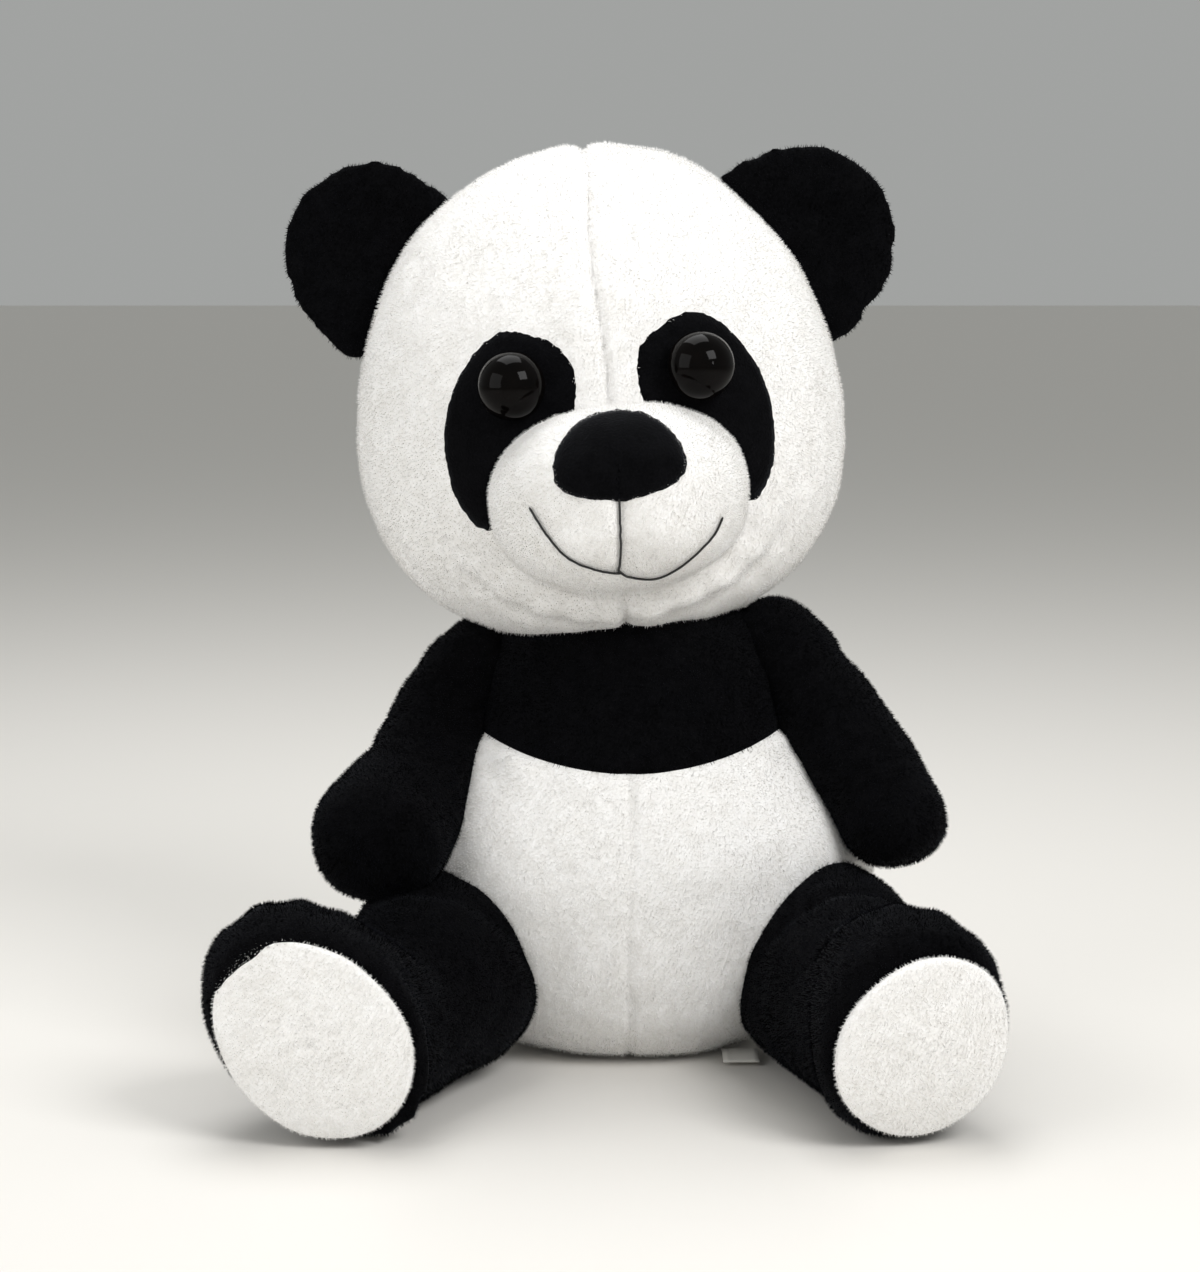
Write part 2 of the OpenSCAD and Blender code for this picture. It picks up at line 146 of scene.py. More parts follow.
def eyeMaterial():
    # Moulded acrylic eye: near-black brown with a clear polished skin, so it mirrors the lights
    material, tree, shader = newMaterial(
        "polishedEyeAcrylic", Roughness=0.07, IOR=1.45, Specular_IOR_Level=0.08)
    place = addNode(tree, "ShaderNodeTexCoord").outputs["Object"]
    swirl = addNode(tree, "ShaderNodeTexNoise", {"Vector": place, "Scale": 1 / (6 * mm), "Detail": 1.0})
    colour = addNode(tree, "ShaderNodeMix", {"Factor": swirl.outputs["Fac"]}, data_type="RGBA")
    colour.inputs[6].default_value = srgb("#030303")
    colour.inputs[7].default_value = srgb("#0b0807")
    tree.links.new(colour.outputs[2], shader.inputs["Base Color"])
    return material


def threadMaterial():
    # Twisted polyester embroidery thread: black, with faint lighter stripes as a painted satin sheen
    material, tree, shader = newMaterial("blackThread", Roughness=0.45, Sheen_Weight=0.1)
    place = addNode(tree, "ShaderNodeTexCoord").outputs["Object"]
    paintedSatinStripes = addNode(tree, "ShaderNodeTexWave", {"Vector": place, "Scale": 1 / (1.2 * mm), "Distortion": 1.0})
    colour = addNode(tree, "ShaderNodeMix", {"Factor": paintedSatinStripes.outputs["Fac"]}, data_type="RGBA")
    colour.inputs[6].default_value = srgb("#050506")
    colour.inputs[7].default_value = srgb("#121214")
    tree.links.new(colour.outputs[2], shader.inputs["Base Color"])
    return material


def simpleClothMaterial(name, light, dark, scale):
    # Loose fibre or woven tape: a fine mottled off-white
    material, tree, shader = newMaterial(name, Roughness=0.8, Sheen_Weight=0.2)
    place = addNode(tree, "ShaderNodeTexCoord").outputs["Object"]
    mottle = addNode(tree, "ShaderNodeTexNoise", {"Vector": place, "Scale": 1 / (scale * mm), "Detail": 3.0})
    colour = addNode(tree, "ShaderNodeMix", {"Factor": mottle.outputs["Fac"]}, data_type="RGBA")
    colour.inputs[6].default_value = srgb(dark)
    colour.inputs[7].default_value = srgb(light)
    tree.links.new(colour.outputs[2], shader.inputs["Base Color"])
    bumps = addNode(tree, "ShaderNodeBump", {
        "Height": mottle.outputs["Fac"], "Strength": 0.3, "Distance": 0.3 * mm})
    tree.links.new(bumps.outputs[0], shader.inputs["Normal"])
    return material


eyeAcrylic = eyeMaterial()
blackThread = threadMaterial()
fibreFill = simpleClothMaterial("polyesterFill", "#f6f4ef", "#dedad2", 1.5)
labelTape = simpleClothMaterial("satinLabelTape", "#f2f0ea", "#e2dfd8", 0.4)
washerNylon = simpleClothMaterial("mouldedNylon", "#e9e7e0", "#dcd9d1", 2.0)
print("materials made")


# Mesh tools

def makeObject(name, points, faces):
    mesh = bpy.data.meshes.new(name)
    mesh.from_pydata([tuple(p) for p in points], [], faces)
    mesh.update()
    made = bpy.data.objects.new(name, mesh)
    scene.collection.objects.link(made)
    return made


def setMaterial(piece, material):
    piece.data.materials.clear()
    piece.data.materials.append(material)


def coords(piece):
    co = np.empty(len(piece.data.vertices) * 3)
    piece.data.vertices.foreach_get("co", co)
    return co.reshape(-1, 3)


def setCoords(piece, co):
    piece.data.vertices.foreach_set("co", np.ascontiguousarray(co, dtype=np.float32).ravel())
    piece.data.update()


def normals(piece):
    return np.array([n.vector for n in piece.data.vertex_normals])


def applyModifiers(piece):
    graph = bpy.context.evaluated_depsgraph_get()
    graph.update()
    mesh = bpy.data.meshes.new_from_object(piece.evaluated_get(graph))
    piece.modifiers.clear()
    old = piece.data
    piece.data = mesh
    bpy.data.meshes.remove(old)


def smoothed(piece, levels=0):
    if levels:
        sub = piece.modifiers.new("sub", "SUBSURF")
        sub.levels = sub.render_levels = levels
        applyModifiers(piece)
    piece.data.shade_smooth()


def through(rows, t):
    # Smooth curve through equally spaced rows, for an array of t from 0 to 1
    rows = np.array(rows, float)
    last = len(rows) - 1
    s = np.clip(np.atleast_1d(t), 0, 1) * last
    i = np.minimum(s.astype(int), last - 1)
    f = (s - i)[:, None]
    p0, p1 = rows[np.maximum(i - 1, 0)], rows[i]
    p2, p3 = rows[i + 1], rows[np.minimum(i + 2, last)]
    return 0.5 * (2 * p1 + (p2 - p0) * f + (2 * p0 - 5 * p1 + 4 * p2 - p3) * f ** 2
                  + (3 * p1 - p0 - 3 * p2 + p3) * f ** 3)


def loft(name, rings):
    # A closed skin through rings of points, with a pole at each end
    count = len(rings[0])
    points = [p for ring in rings for p in ring]
    faces = []
    for i in range(len(rings) - 1):
        for j in range(count):
            a, b = i * count + j, i * count + (j + 1) % count
            faces.append((a, b, b + count, a + count))
    start, end = len(points), len(points) + 1
    points += [np.mean(rings[0], axis=0), np.mean(rings[-1], axis=0)]
    top = (len(rings) - 1) * count
    faces += [((j + 1) % count, j, start) for j in range(count)]
    faces += [(top + j, top + (j + 1) % count, end) for j in range(count)]
    return makeObject(name, points, faces)


def sweep(name, stations, up, outward=1, roundStart=0.0, roundEnd=0.0, rings=36, around=40):
    # A limb: stations hold x, y, z, the half sizes across and up, and the outward lean in degrees
    t = (1 - np.cos(np.linspace(0, math.pi, rings))) / 2
    rows = through(stations, t)
    path = rows[:, :3]
    tangent = np.gradient(path, axis=0)
    tangent /= np.linalg.norm(tangent, axis=1)[:, None]
    side = np.cross(np.array(up, float), tangent)
    side /= np.linalg.norm(side, axis=1)[:, None]
    rise = np.cross(tangent, side)
    lean = np.radians(rows[:, 5:6]) * outward
    side, rise = side * np.cos(lean) - rise * np.sin(lean), rise * np.cos(lean) + side * np.sin(lean)
    scale = np.ones(rings)
    if roundStart:
        scale *= np.sqrt(np.clip(1 - np.clip((roundStart - t) / roundStart, 0, 1) ** 2, 0.0004, 1))
    if roundEnd:
        scale *= np.sqrt(np.clip(1 - np.clip((t - 1 + roundEnd) / roundEnd, 0, 1) ** 2, 0.0004, 1))
    made = []
    for k in range(rings):
        a = np.linspace(0, 2 * math.pi, around, endpoint=False)[:, None]
        ring = path[k] + scale[k] * (rows[k, 3] * np.cos(a) * side[k] + rows[k, 4] * np.sin(a) * rise[k])
        made.append(ring * mm)
    return loft(name, made)


clothLook = {"steps": 5, "mass": 0.15, "stretch": 12, "bend": 0.4}


def puffUp(piece, voxel=4.0, pressure=4.0, cap=3.0, pinned=None, levels=2, frames=20):
    # Remesh, then let the cloth swell against its pinned seams; no point moves more than cap mm
    remesh = piece.modifiers.new("remesh", "REMESH")
    remesh.mode = "VOXEL"
    remesh.voxel_size = voxel * mm
    applyModifiers(piece)
    before = coords(piece)
    group = piece.vertex_groups.new(name="pins")
    if pinned is not None:
        weights = np.clip(pinned(before / mm), 0, 1)
        for i in np.nonzero(weights > 0.02)[0]:
            group.add([int(i)], float(weights[i]), "REPLACE")
    cloth = piece.modifiers.new("cloth", "CLOTH")
    settings = cloth.settings
    settings.quality = clothLook["steps"]
    settings.mass = clothLook["mass"]
    settings.tension_stiffness = settings.compression_stiffness = clothLook["stretch"]
    settings.bending_stiffness = clothLook["bend"]
    settings.use_pressure = True
    settings.uniform_pressure_force = pressure
    settings.effector_weights.gravity = 0
    settings.vertex_group_mass = "pins"
    cloth.collision_settings.use_collision = False
    cloth.point_cache.frame_start = 1
    cloth.point_cache.frame_end = frames
    for f in range(1, frames + 1):
        scene.frame_set(f)
    applyModifiers(piece)
    after = coords(piece)
    move = after - before
    length = np.linalg.norm(move, axis=1)[:, None]
    move *= np.minimum(1, cap * mm / np.maximum(length, 1e-9))
    setCoords(piece, before + move)
    scene.frame_set(1)
    smoothed(piece, levels)


def sculpt(piece, change):
    # change takes points in mm and unit normals and gives how far each point moves along its normal, in mm
    co, no = coords(piece), normals(piece)
    setCoords(piece, co + no * (change(co / mm, no) * mm)[:, None])


def lumps(co, size, seed=0.0):
    # Smooth noise from -1 to 1, about size mm from one lump to the next
    shift = Vector((seed, seed * 1.7, -seed))
    return np.array([noise.noise(Vector(p) / size + shift) for p in co])


def lineDistance(co, path):
    # Distance in mm from each point to a line of points
    best = np.full(len(co), 1e9)
    path = np.array(path, float)
    for a, b in zip(path[:-1], path[1:]):
        d = b - a
        t = np.clip(((co - a) @ d) / max(d @ d, 1e-9), 0, 1)
        best = np.minimum(best, np.linalg.norm(co - (a + t[:, None] * d), axis=1))
    return best


def groove(distance, width, depth):
    return -depth * np.exp(-(distance / width) ** 2)


def keepAboveFloor(piece, low=0.4):
    # What meets the floor goes flat, with a soft edge
    co = coords(piece) / mm
    z = co[:, 2]
    soft = 2.5
    co[:, 2] = np.where(z < low + soft, low + soft * np.exp((z - low - soft) / soft), z)
    setCoords(piece, co * mm)


def finish(piece, body, replaced=(), material=None):
    if material:
        setMaterial(piece, material)
    if replaced:
        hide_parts(*replaced)
    if isinstance(body, str):
        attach(piece, body)
    else:
        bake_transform(piece)
    return piece


# The pile, as Geometry Nodes

def pileTree():
    tree = bpy.data.node_groups.new("plushPile", "GeometryNodeTree")
    face = tree.interface
    face.new_socket("Geometry", in_out="INPUT", socket_type="NodeSocketGeometry")
    for name, kind in (("Density", "Float"), ("Length", "Float"), ("Width", "Float"), ("Stand", "Float"),
                       ("Comb", "Vector"), ("Stray", "Float"), ("Clump", "Float"), ("Seed", "Int"),
                       ("Light", "Material"), ("Shade", "Material")):
        face.new_socket(name, in_out="INPUT", socket_type="NodeSocket" + kind)
    face.new_socket("Geometry", in_out="OUTPUT", socket_type="NodeSocketGeometry")
    given = addNode(tree, "NodeGroupInput").outputs
    points = addNode(tree, "GeometryNodeDistributePointsOnFaces", {
        "Mesh": given["Geometry"], "Density": given["Density"], "Seed": given["Seed"]})
    stray = addNode(tree, "FunctionNodeRandomValue", {
        0: (-1, -1, -1), 1: (1, 1, 1), "Seed": 3}, data_type="FLOAT_VECTOR")
    strayed = addNode(tree, "ShaderNodeVectorMath", {
        0: stray.outputs[0], "Scale": given["Stray"]}, operation="SCALE")
    place = addNode(tree, "GeometryNodeInputPosition")
    drift = addNode(tree, "ShaderNodeTexNoise", {
        "Vector": place.outputs[0], "Scale": 1 / (9 * mm), "Detail": 2.0})
    centred = addNode(tree, "ShaderNodeVectorMath", {
        0: drift.outputs["Color"], 1: (0.5, 0.5, 0.5)}, operation="SUBTRACT")
    drifted = addNode(tree, "ShaderNodeVectorMath", {
        0: centred.outputs[0], "Scale": given["Clump"]}, operation="SCALE")
    upright = addNode(tree, "ShaderNodeVectorMath", {
        0: points.outputs["Normal"], "Scale": given["Stand"]}, operation="SCALE")
    lean = addNode(tree, "ShaderNodeVectorMath", {0: upright.outputs[0], 1: given["Comb"]}, operation="ADD")
    lean = addNode(tree, "ShaderNodeVectorMath", {0: lean.outputs[0], 1: strayed.outputs[0]}, operation="ADD")
    lean = addNode(tree, "ShaderNodeVectorMath", {0: lean.outputs[0], 1: drifted.outputs[0]}, operation="ADD")
    turn = addNode(tree, "FunctionNodeAlignRotationToVector", {"Vector": lean.outputs[0]}, axis="Z")
    spike = addNode(tree, "GeometryNodeMeshCone", {
        "Vertices": 3, "Radius Top": 0.0, "Radius Bottom": given["Width"], "Depth": given["Length"]},
        fill_type="NGON")
    size = addNode(tree, "FunctionNodeRandomValue", {2: 0.65, 3: 1.2, "Seed": 5}, data_type="FLOAT")
    tufts = addNode(tree, "GeometryNodeInstanceOnPoints", {
        "Points": points.outputs["Points"], "Instance": spike.outputs["Mesh"],
        "Rotation": turn.outputs[0], "Scale": size.outputs[1]})
    # Patches about 15 mm across of painted sheen and painted shade, where more fibres take the lighter or the
    # darker material
    nap = addNode(tree, "ShaderNodeTexNoise", {
        "Vector": place.outputs[0], "Scale": 1 / (15 * mm), "Detail": 1.0})
    chance = addNode(tree, "ShaderNodeMapRange", {
        "Value": nap.outputs["Fac"], "From Min": 0.38, "From Max": 0.6, "To Min": 0.15, "To Max": 0.9})
    pick = addNode(tree, "FunctionNodeRandomValue", {
        "Probability": chance.outputs[0], "Seed": 7}, data_type="BOOLEAN")
    stored = addNode(tree, "GeometryNodeStoreNamedAttribute", {
        "Geometry": tufts.outputs[0], "Name": "shaded", "Value": pick.outputs[3]},
        data_type="BOOLEAN", domain="INSTANCE")
    real = addNode(tree, "GeometryNodeRealizeInstances", {"Geometry": stored.outputs[0]})
    light = addNode(tree, "GeometryNodeSetMaterial", {
        "Geometry": real.outputs[0], "Material": given["Light"]})
    shaded = addNode(tree, "GeometryNodeInputNamedAttribute", {"Name": "shaded"}, data_type="BOOLEAN")
    both = addNode(tree, "GeometryNodeSetMaterial", {
        "Geometry": light.outputs[0], "Selection": shaded.outputs[0], "Material": given["Shade"]})
    addNode(tree, "NodeGroupOutput", {"Geometry": both.outputs[0]})
    return tree


pileNodes = pileTree()
pileLook = {
    "Density": 1.3e6,     # fibres per square metre
    "Length": 1.15 * mm,
    "Width": 0.12 * mm,
    "Stand": 1.0,
    "Comb": (0.0, 0.0, -0.35),
    "Stray": 0.3,
    "Clump": 1.5,
    "Seed": 1,
}


def growPile(host, name, body, slot, keep=None, **changes):
    # keep picks the faces that carry this piece of pile, from their middles in mm
    pile = bpy.data.objects.new(name, host.data.copy())
    scene.collection.objects.link(pile)
    if keep is not None:
        shape = bmesh.new()
        shape.from_mesh(pile.data)
        drop = [f for f in shape.faces if not keep(f.calc_center_median() / mm)]
        bmesh.ops.delete(shape, geom=drop, context="FACES")
        shape.to_mesh(pile.data)
        shape.free()
    isWhite = slot == "white_plush"
    # The Light fibres are painted sheen and the Shade fibres painted shade
    values = {**pileLook, "Light": whitePaintedSheenFibre if isWhite else blackPaintedSheenFibre,
              "Shade": whitePaintedShadeFibre if isWhite else blackPaintedShadeFibre, **changes}
    modifier = pile.modifiers.new("pile", "NODES")
    modifier.node_group = pileNodes
    for item in pileNodes.interface.items_tree:
        if item.in_out == "INPUT" and item.name in values:
            modifier[item.identifier] = values[item.name]
    applyModifiers(pile)
    if "shaded" in pile.data.attributes:
        pile.data.attributes.remove(pile.data.attributes["shaded"])
    pile.data.shade_smooth()
    return finish(pile, body)


# Camera, floor and light

view = {"place": (-9, -850, 247), "pitch": 8.0, "lens": 77.3}
camera = bpy.data.objects.new("camera", bpy.data.cameras.new("camera"))
scene.collection.objects.link(camera)
camera.location = Vector(view["place"]) * mm
camera.rotation_euler = (math.radians(90 - view["pitch"]), 0, 0)
camera.data.lens = view["lens"]
camera.data.sensor_width = 36
camera.data.clip_start = 0.01
scene.camera = camera

floorMaterial = newMaterial("paleFloor", Roughness=0.6, Base_Color=srgb("#e9e6e1"))[0]
floorHalf = 12     # m, so that its edge is far behind the toy
corners = [(x * floorHalf, y * floorHalf, 0) for x, y in ((-1, -1), (1, -1), (1, 1), (-1, 1))]
floor = makeObject("floor", corners, [(0, 1, 2, 3)])
setMaterial(floor, floorMaterial)

lights = {
    "key": {"place": (0.6, -0.7, 0.85), "size": 0.5, "power": 8},
    "fill": {"place": (-0.9, -0.6, 0.5), "size": 0.8, "power": 4},
    "top": {"place": (-0.1, 0.2, 1.1), "size": 0.7, "power": 6.5},
}
for lightName, look in lights.items():
    lamp = bpy.data.objects.new(lightName, bpy.data.lights.new(lightName, "AREA"))
    scene.collection.objects.link(lamp)
    lamp.location = look["place"]
    aim = Vector((0, -0.02, 0.13)) - lamp.location
    lamp.rotation_euler = aim.to_track_quat("-Z", "Y").to_euler()
    lamp.data.size = look["size"]
    lamp.data.energy = look["power"]
world = bpy.data.worlds.new("studio")
world.use_nodes = True
world.node_tree.nodes["Background"].inputs["Color"].default_value = srgb("#eef0ee")
world.node_tree.nodes["Background"].inputs["Strength"].default_value = 0.42
scene.world = world
scene.view_settings.view_transform = "Standard"
print("camera, floor and light made")


# Head

headSpec = {
    "aboveNeck": (-8.7, -2, 77.3),      # mm from the neck joint to the middle of the head
    "half": (74.6, 61.8, 77.0),     # mm under the pile
    "roll": -6.0, "turn": 3.1,      # degrees, as it leans on the neck
    "lowFullness": 0.13, "topFullness": 0.13,
    "seamDepth": 1.8, "seamWidth": 1.3,
    "sideSeam": 4,      # mm behind the middle, where front and back panels meet
}
headMiddle = Vector(joints["head_nod"]["pos_m"]) + Vector(headSpec["aboveNeck"]) * mm
headHalf = Vector(headSpec["half"])
headTurn = Euler((0, math.radians(headSpec["roll"]), 0)).to_matrix()
headTurn = Euler((0, 0, math.radians(headSpec["turn"]))).to_matrix() @ headTurn
headFrame = Matrix.Translation(headMiddle) @ headTurn.to_4x4()
headBack = headFrame.inverted()


def headRound(s):
    # How wide the head is at height s, from -1 at the chin to 1 at the crown
    lean = headSpec["lowFullness"] - headSpec["topFullness"] * s
    return np.sqrt(np.clip(1 - s * s, 0, 1)) * (1 - lean * s)


def toHead(co):
    # World mm to the head's own mm, where x is across the face, -y out of it and z up
    m = np.array(headBack)
    return co @ m[:3, :3].T + m[:3, 3] / mm


def fromHead(co):
    m = np.array(headFrame)
    return co @ m[:3, :3].T + m[:3, 3] / mm


def headSculpt(co, no):
    p = toHead(co)
    x, y, z = p.T
    front = 1 / (1 + np.exp((y + 5) / 6))
    seamX = 3 * np.clip((z - 30) / 45, 0, 1) ** 2 + 0.4 * np.sin(z / 9)
    seam = groove(np.abs(x - seamX), headSpec["seamWidth"], headSpec["seamDepth"])
    beside = 0.8 * np.exp(-((np.abs(x - seamX) - 6) / 5) ** 2)
    sideSeam = groove(np.abs(y - headSpec["sideSeam"]), 1.5, 0.9)
    dart = groove(lineDistance(p, [(-27, -42, 50), (-17, -47, 49), (-8, -49, 47.5)]), 1.1, 0.9)
    # Soft folds where the cheeks and chin are drawn in under the muzzle
    away = np.sqrt((x / 41) ** 2 + ((z + 27) / 31) ** 2)
    low = np.clip(-(z + 30) / 20, 0, 1) * front
    folds = groove(np.abs(away - 1.05), 0.07, 2.6) * low + groove(np.abs(away - 1.33), 0.06, 1.5) * low
    folds = folds * (0.8 + 0.6 * lumps(co, 12, 3)) + 1.2 * np.exp(-((away - 1.19) / 0.07) ** 2) * low
    puckers = 0.45 * np.sin(np.arctan2(x, z + 27) * 22) * np.exp(-((away - 1.2) / 0.18) ** 2) * low
    crown = np.clip((z - 25) / 50, 0, 1)
    return (seam + beside + sideSeam + dart + folds + puckers
            + 1.5 * lumps(co, 34, 1) * (0.4 + crown) + 0.5 * lumps(co, 11, 2))


def makeHead():
    heights = np.sin(np.linspace(-math.pi / 2 + 0.02, math.pi / 2 - 0.02, 40))
    rings = []
    for s in heights:
        r = headRound(s)
        a = np.linspace(0, 2 * math.pi, 48, endpoint=False)
        ring = np.stack([headHalf.x * r * np.sin(a), -headHalf.y * r * np.cos(a),
                         np.full(48, headHalf.z * s)], axis=1)
        rings.append(fromHead(ring) * mm)
    head = loft("headPlush", rings)

    def pins(co):
        # The centre seam and the side seam hold the cloth in
        p = toHead(co)
        return np.exp(-(np.minimum(np.abs(p[:, 0]), np.abs(p[:, 1] - headSpec["sideSeam"])) / 4) ** 2)

    puffUp(head, voxel=4.5, pressure=3, cap=1.5, pinned=pins)
    sculpt(head, headSculpt)
    return head


head = makeHead()
headTree = BVHTree.FromObject(head, bpy.context.evaluated_depsgraph_get())


def onFace(x, z, tree=None):
    # The point and outward normal where a line straight into the face, at head x and z in mm, meets the skin
    start = headFrame @ (Vector((x, -200, z)) * mm)
    into = headTurn @ Vector((0, 1, 0))
    hit, normal, index, far = (tree or headTree).ray_cast(start, into)
    return hit, normal


print("head made", len(head.data.polygons))


# Muzzle, nose, mouth and eye patches

muzzleSpec = {
    "middle": (0.5, -27.5),     # head x and z, mm
    "half": (39.0, 28.3),
    "square": 2.25,     # 2 is an ellipse, more is boxier
    "reach": 29, "sink": 6, "cleft": 1.2,
}


def squared(angle, power):
    # Sine and cosine of a rounder-cornered circle
    across, rise = math.sin(angle), math.cos(angle)
    size = (abs(across) ** power + abs(rise) ** power) ** (1 / power)
    return across / size, rise / size


def makeMuzzle():
    rings = []
    halfX, halfZ = muzzleSpec["half"]
    steps = [(share, 1) for share in np.linspace(0.03, 1, 18)]
    steps += [(share, 0) for share in np.linspace(0.97, 0.05, 8)]
    for share, isFront in steps:
        ring = []
        for a in np.linspace(0, 2 * math.pi, 56, endpoint=False):
            across, rise = squared(a, muzzleSpec["square"])
            x = muzzleSpec["middle"][0] + share * halfX * across
            z = muzzleSpec["middle"][1] + share * halfZ * rise
            hit, normal = onFace(x, z)
            base = headBack @ hit
            if isFront:
                out = muzzleSpec["reach"] * math.sqrt(max(0, 1 - share ** 2.8))
                base.y -= (out - 1) * mm
            else:
                base.y += muzzleSpec["sink"] * mm * (1 - share ** 2) + 1 * mm
            ring.append(np.array(headFrame @ base))
        rings.append(ring)
    rings.reverse()
    muzzle = loft("muzzlePlush", rings)
    puffUp(muzzle, voxel=2.5, pressure=2, cap=1.0, levels=1,
           pinned=lambda co: (toHead(co)[:, 1] > -60).astype(float))

    def shape(co, no):
        p = toHead(co)
        x, y, z = p.T
        isFront = 1 / (1 + np.exp((y + 72) / 3))
        below = 1 / (1 + np.exp((z + 22) / 2))
        cleft = groove(np.abs(x - dropX(z)), 1.5, muzzleSpec["cleft"]) * below * isFront * (z > -48)
        cheeks = 1.6 * np.exp(-((np.abs(x) - 14) / 10) ** 2) * np.exp(-((z + 38) / 8) ** 2) * isFront
        line = groove(smileDistance(p), 1.4, 1.2) * isFront
        return cleft + cheeks + line + 0.35 * lumps(co, 9, 4)

    sculpt(muzzle, shape)
    return muzzle


mouthSpec = {
    "smile": [(-25.8, -26), (-22.2, -33), (-17.3, -39.5), (-11, -43.8), (-4, -46.6), (2, -49), (8, -49.8),
              (14, -47.5), (20, -43.1), (25, -38.7), (27.4, -34.8)],
    "drop": [(-1.2, -25), (-2.9, -46.8)],
    "thread": 0.75, "proud": 0.7, "stitch": 2.0, "spacing": 0.9,
}
smilePath = through(mouthSpec["smile"], np.linspace(0, 1, 70))


def smileDistance(p):
    # Distance in mm from the smile, seen from the front
    return lineDistance(p[:, [0, 2]], smilePath)


def dropX(z):
    (x0, z0), (x1, z1) = mouthSpec["drop"]
    return x0 + (x1 - x0) * np.clip((z - z0) / (z1 - z0), 0, 1)


muzzle = makeMuzzle()
muzzleTree = BVHTree.FromObject(muzzle, bpy.context.evaluated_depsgraph_get())
print("muzzle made", len(muzzle.data.polygons))


def closedCurve(points, count):
    # Smooth closed outline through a few chosen points
    rows = np.array(points + points[:3], float)
    last = len(points)
    t = (np.arange(count) / count * last + 1) / (last + 2)
    return through(rows, t)


def applique(name, outline, tree, thickness, puff, shares=7, under=1.5, rough=0.5):
    # A shaped pad laid on a skin: thickness at its edge and puff more at its middle, in mm
    middle = outline.mean(axis=0)
    front, back = [], []
    for share in np.linspace(0.12, 1, shares):
        rowFront, rowBack = [], []
        for k, p in enumerate(outline):
            ragged = 1 + (rough / 20) * noise.noise(Vector((p[0], p[1], 7)) / 1.6) if share == 1 else 1
            q = middle + (p - middle) * share * ragged
            hit, normal = onFace(q[0], q[1], tree)
            lift = thickness * math.sqrt(max(0.0, 1 - share ** 8)) + puff * (1 - share ** 2)
            rowFront.append(np.array(hit + normal * lift * mm))
            rowBack.append(np.array(hit - normal * under * mm))
        front.append(rowFront)
        back.append(rowBack)
    return loft(name, back + front[::-1])


noseSpec = {"thick": 1.3, "puff": 1.2, "rough": 0.65}     # mm, and how ragged its edge is
noseHalf = [(7.5, -1.9), (14, -5.9), (18.3, -12.5), (18.1, -19.3), (12.5, -23), (5, -24.5)]
noseOutline = closedCurve(
    [(0, -0.8)] + noseHalf + [(-0.5, -25.6)] + [(-x, z) for x, z in noseHalf[::-1]], 130)


def makeNose():
    nose = applique("nosePlush", noseOutline, muzzleTree, noseSpec["thick"], noseSpec["puff"],
                    rough=noseSpec["rough"])
    nose.data.shade_smooth()
    return nose


patchSpec = {"thick": 0.6, "puff": 0.2, "rough": 0.45}
patchOutline = closedCurve([(25, 23.8), (35, 20.3), (43.5, 9.5), (48, -3), (48.3, -16), (45.8, -26),
                            (40, -33), (30, -29), (15, -11), (9.3, 4), (11.5, 16.5)], 170)


def makePatch(side):
    outline = patchOutline * np.array([side, 1])
    if side < 0:
        outline = outline[::-1]
    name = "eyePatchLeft" if side > 0 else "eyePatchRight"
    patch = applique(name, outline, headTree, patchSpec["thick"], patchSpec["puff"], shares=9,
                     rough=patchSpec["rough"])
    patch.data.shade_smooth()
    return patch


def stitchTree():
    # Short overlapping stitches along a curve
    tree = bpy.data.node_groups.new("stitchRun", "GeometryNodeTree")
    face = tree.interface
    face.new_socket("Geometry", in_out="INPUT", socket_type="NodeSocketGeometry")
    for name, kind in (("Spacing", "Float"), ("Length", "Float"), ("Thickness", "Float"),
                       ("Material", "Material")):
        face.new_socket(name, in_out="INPUT", socket_type="NodeSocket" + kind)
    face.new_socket("Geometry", in_out="OUTPUT", socket_type="NodeSocketGeometry")
    given = addNode(tree, "NodeGroupInput").outputs
    curve = addNode(tree, "GeometryNodeMeshToCurve", {"Mesh": given["Geometry"]})
    points = addNode(tree, "GeometryNodeCurveToPoints", {
        "Curve": curve.outputs[0], "Length": given["Spacing"]}, mode="LENGTH")
    stitch = addNode(tree, "GeometryNodeMeshUVSphere", {"Segments": 8, "Rings": 6, "Radius": 0.5})
    scale = addNode(tree, "ShaderNodeCombineXYZ", {
        "X": given["Thickness"], "Y": given["Thickness"], "Z": given["Length"]})
    placed = addNode(tree, "GeometryNodeInstanceOnPoints", {
        "Points": points.outputs["Points"], "Instance": stitch.outputs["Mesh"],
        "Rotation": points.outputs["Rotation"], "Scale": scale.outputs[0]})
    real = addNode(tree, "GeometryNodeRealizeInstances", {"Geometry": placed.outputs[0]})
    done = addNode(tree, "GeometryNodeSetMaterial", {
        "Geometry": real.outputs[0], "Material": given["Material"]})
    addNode(tree, "NodeGroupOutput", {"Geometry": done.outputs[0]})
    return tree


stitchNodes = stitchTree()


def stitches(name, runs, spacing, length, thickness, material):
    # runs are lists of points in metres
    points, edges = [], []
    for run in runs:
        edges += [(len(points) + k, len(points) + k + 1) for k in range(len(run) - 1)]
        points += [tuple(p) for p in run]
    mesh = bpy.data.meshes.new(name)
    mesh.from_pydata(points, edges, [])
    piece = bpy.data.objects.new(name, mesh)
    scene.collection.objects.link(piece)
    modifier = piece.modifiers.new("stitches", "NODES")
    modifier.node_group = stitchNodes
    values = {"Spacing": spacing * mm, "Length": length * mm, "Thickness": thickness * mm,
              "Material": material}
    for item in stitchNodes.interface.items_tree:
        if item.in_out == "INPUT" and item.name in values:
            modifier[item.identifier] = values[item.name]
    applyModifiers(piece)
    piece.data.shade_smooth()
    return piece


